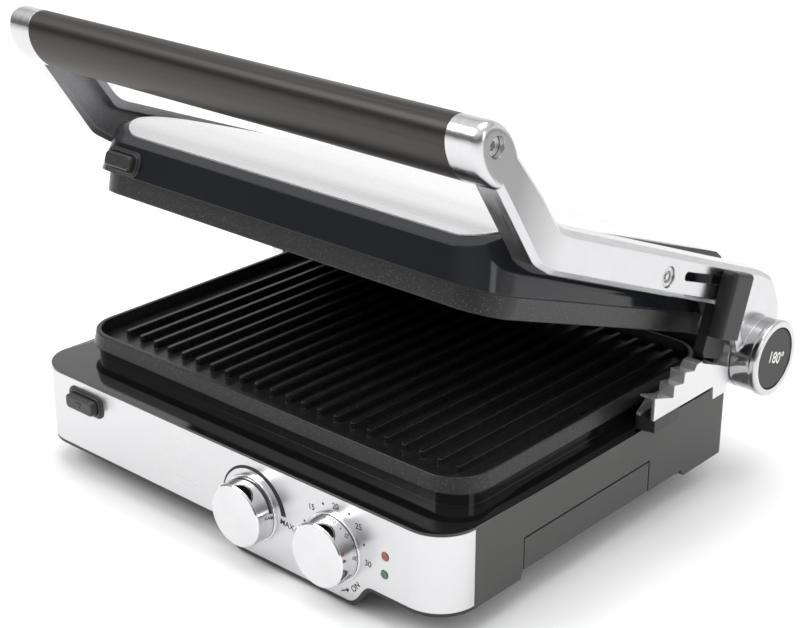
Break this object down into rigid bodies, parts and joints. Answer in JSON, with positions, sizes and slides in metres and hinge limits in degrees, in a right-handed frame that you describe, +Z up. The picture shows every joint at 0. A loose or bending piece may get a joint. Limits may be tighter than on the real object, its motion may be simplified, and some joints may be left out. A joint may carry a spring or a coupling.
{
  "type": "electric contact grill",
  "caption": "Electric contact grill with two ribbed plates, stainless front and lid, side arms with an oval handle, height lever, knobs and drip tray.",
  "frame": {"origin": "centre of the base's footprint at the surface it stands on, below the bounding box's centre", "axes": "+Z up, -Y to the front with the knobs, X along the hinge and the handle"},
  "size_m": [0.3612, 0.3061, 0.2722],
  "materials": {
    "housing_plastic": "satin",
    "gloss_black": "gloss",
    "stainless": "bright brushed",
    "inner_steel": "satin",
    "nonstick": "speckled non-stick coating",
    "chromed_knob": "spun face",
    "chromed_bracket": "polished",
    "cast_arm": "polished outside, rough cast inside",
    "handle_dark": "dark brushed",
    "button_plastic": "satin",
    "disc_grey": "satin",
    "red_lens": "translucent",
    "green_lens": "translucent",
    "foot_rubber": "matte",
    "terminal_white": "matte"
  },
  "bodies": {
    "base": {"base_housing": "housing_plastic", "bottom_cover": "housing_plastic", "rubber_feet": "foot_rubber", "cover_screws": "inner_steel", "front_fascia": "stainless", "fascia_trim": "housing_plastic", "top_deck": "gloss_black", "lower_reflector": "inner_steel", "lower_heating_element": "inner_steel", "rear_plate_clips": "housing_plastic", "drain_chute": "housing_plastic", "thermostat_body": "housing_plastic", "timer_body": "housing_plastic", "knob_rings": "chromed_knob", "power_lamp": "red_lens", "heat_lamp": "green_lens", "lower_button_bezel": "button_plastic", "lower_release_spring": "inner_steel", "spring_post": "housing_plastic", "mains_inlet": "button_plastic", "terminal_block": "terminal_white", "thermal_fuse": "terminal_white", "hinge_shoulders": "housing_plastic", "right_hinge_bracket": "chromed_bracket", "left_hinge_bracket": "chromed_bracket", "hinge_pins": "inner_steel", "hinge_washers": "inner_steel", "rear_hinge_cover": "housing_plastic"},
    "lower_plate": {"lower_grill_plate": "nonstick", "lower_plate_lug": "nonstick", "lower_plate_feet": "nonstick"},
    "drip_tray": {"drip_tray": "housing_plastic"},
    "thermostat_control": {"thermostat_knob": "chromed_knob", "thermostat_shaft": "inner_steel"},
    "timer_control": {"timer_knob": "chromed_knob", "timer_shaft": "inner_steel"},
    "lower_release": {"lower_release_button": "button_plastic", "lower_latch": "button_plastic"},
    "arms": {"right_arm": "cast_arm", "left_arm": "cast_arm", "handle_tube": "handle_dark", "handle_rod": "inner_steel", "handle_bolts": "inner_steel", "left_hinge_cap": "disc_grey", "hinge_button_spring": "inner_steel"},
    "hinge_button": {"hinge_button_180": "disc_grey"},
    "height_lever": {"height_lever": "button_plastic"},
    "lid": {"lid_housing": "gloss_black", "lid_top_panel": "stainless", "lid_inner_frame": "inner_steel", "upper_reflector": "inner_steel", "upper_heating_element": "inner_steel", "upper_button_bezel": "button_plastic", "lid_pivot_screws": "inner_steel", "upper_release_spring": "inner_steel"},
    "upper_plate": {"upper_grill_plate": "nonstick", "upper_plate_lug": "nonstick"},
    "upper_release": {"upper_release_button": "button_plastic", "upper_latch": "button_plastic"}
  },
  "joints": [
    {"name": "arm_hinge", "type": "hinge", "parent": "base", "child": "arms", "pos_m": [0, 0.13015, 0.07667], "axis": [-1, 0, 0], "range_deg": [-20, 155.4]},
    {"name": "lid_tilt", "type": "hinge", "parent": "arms", "child": "lid", "pos_m": [0, 0.02729, 0.15487], "axis": [1, 0, 0], "range_deg": [0, 8]},
    {"name": "lever_slide", "type": "slide", "parent": "arms", "child": "height_lever", "axis": [0, -0.9397, 0.342], "range_m": [0, 0.044]},
    {"name": "hinge_button_press", "type": "slide", "parent": "arms", "child": "hinge_button", "axis": [-1, 0, 0], "range_m": [0, 0.003], "stiffness_N_per_m": 500, "deforming": ["hinge_button_spring"]},
    {"name": "thermostat_turn", "type": "hinge", "parent": "base", "child": "thermostat_control", "pos_m": [0.02445, -0.148, 0.0329], "axis": [0, 1, 0], "range_deg": [0, 270]},
    {"name": "timer_turn", "type": "hinge", "parent": "base", "child": "timer_control", "pos_m": [0.0851, -0.148, 0.0329], "axis": [0, 1, 0], "range_deg": [0, 300]},
    {"name": "lower_release_press", "type": "slide", "parent": "base", "child": "lower_release", "axis": [0, 1, 0], "range_m": [0, 0.004], "stiffness_N_per_m": 500, "deforming": ["lower_release_spring"]},
    {"name": "upper_release_press", "type": "slide", "parent": "lid", "child": "upper_release", "axis": [0, 0.9397, -0.342], "range_m": [0, 0.004], "stiffness_N_per_m": 500, "deforming": ["upper_release_spring"]},
    {"name": "tray_slide", "type": "slide", "parent": "base", "child": "drip_tray", "axis": [1, 0, 0], "range_m": [0, 0.095]},
    {"name": "lower_plate_release", "type": "hinge", "parent": "base", "child": "lower_plate", "pos_m": [0, 0.112, 0.0698], "axis": [-1, 0, 0], "range_deg": [0, 10]},
    {"name": "upper_plate_release", "type": "hinge", "parent": "lid", "child": "upper_plate", "pos_m": [0, 0.11841, 0.0985], "axis": [1, 0, 0], "range_deg": [0, 10]}
  ]
}
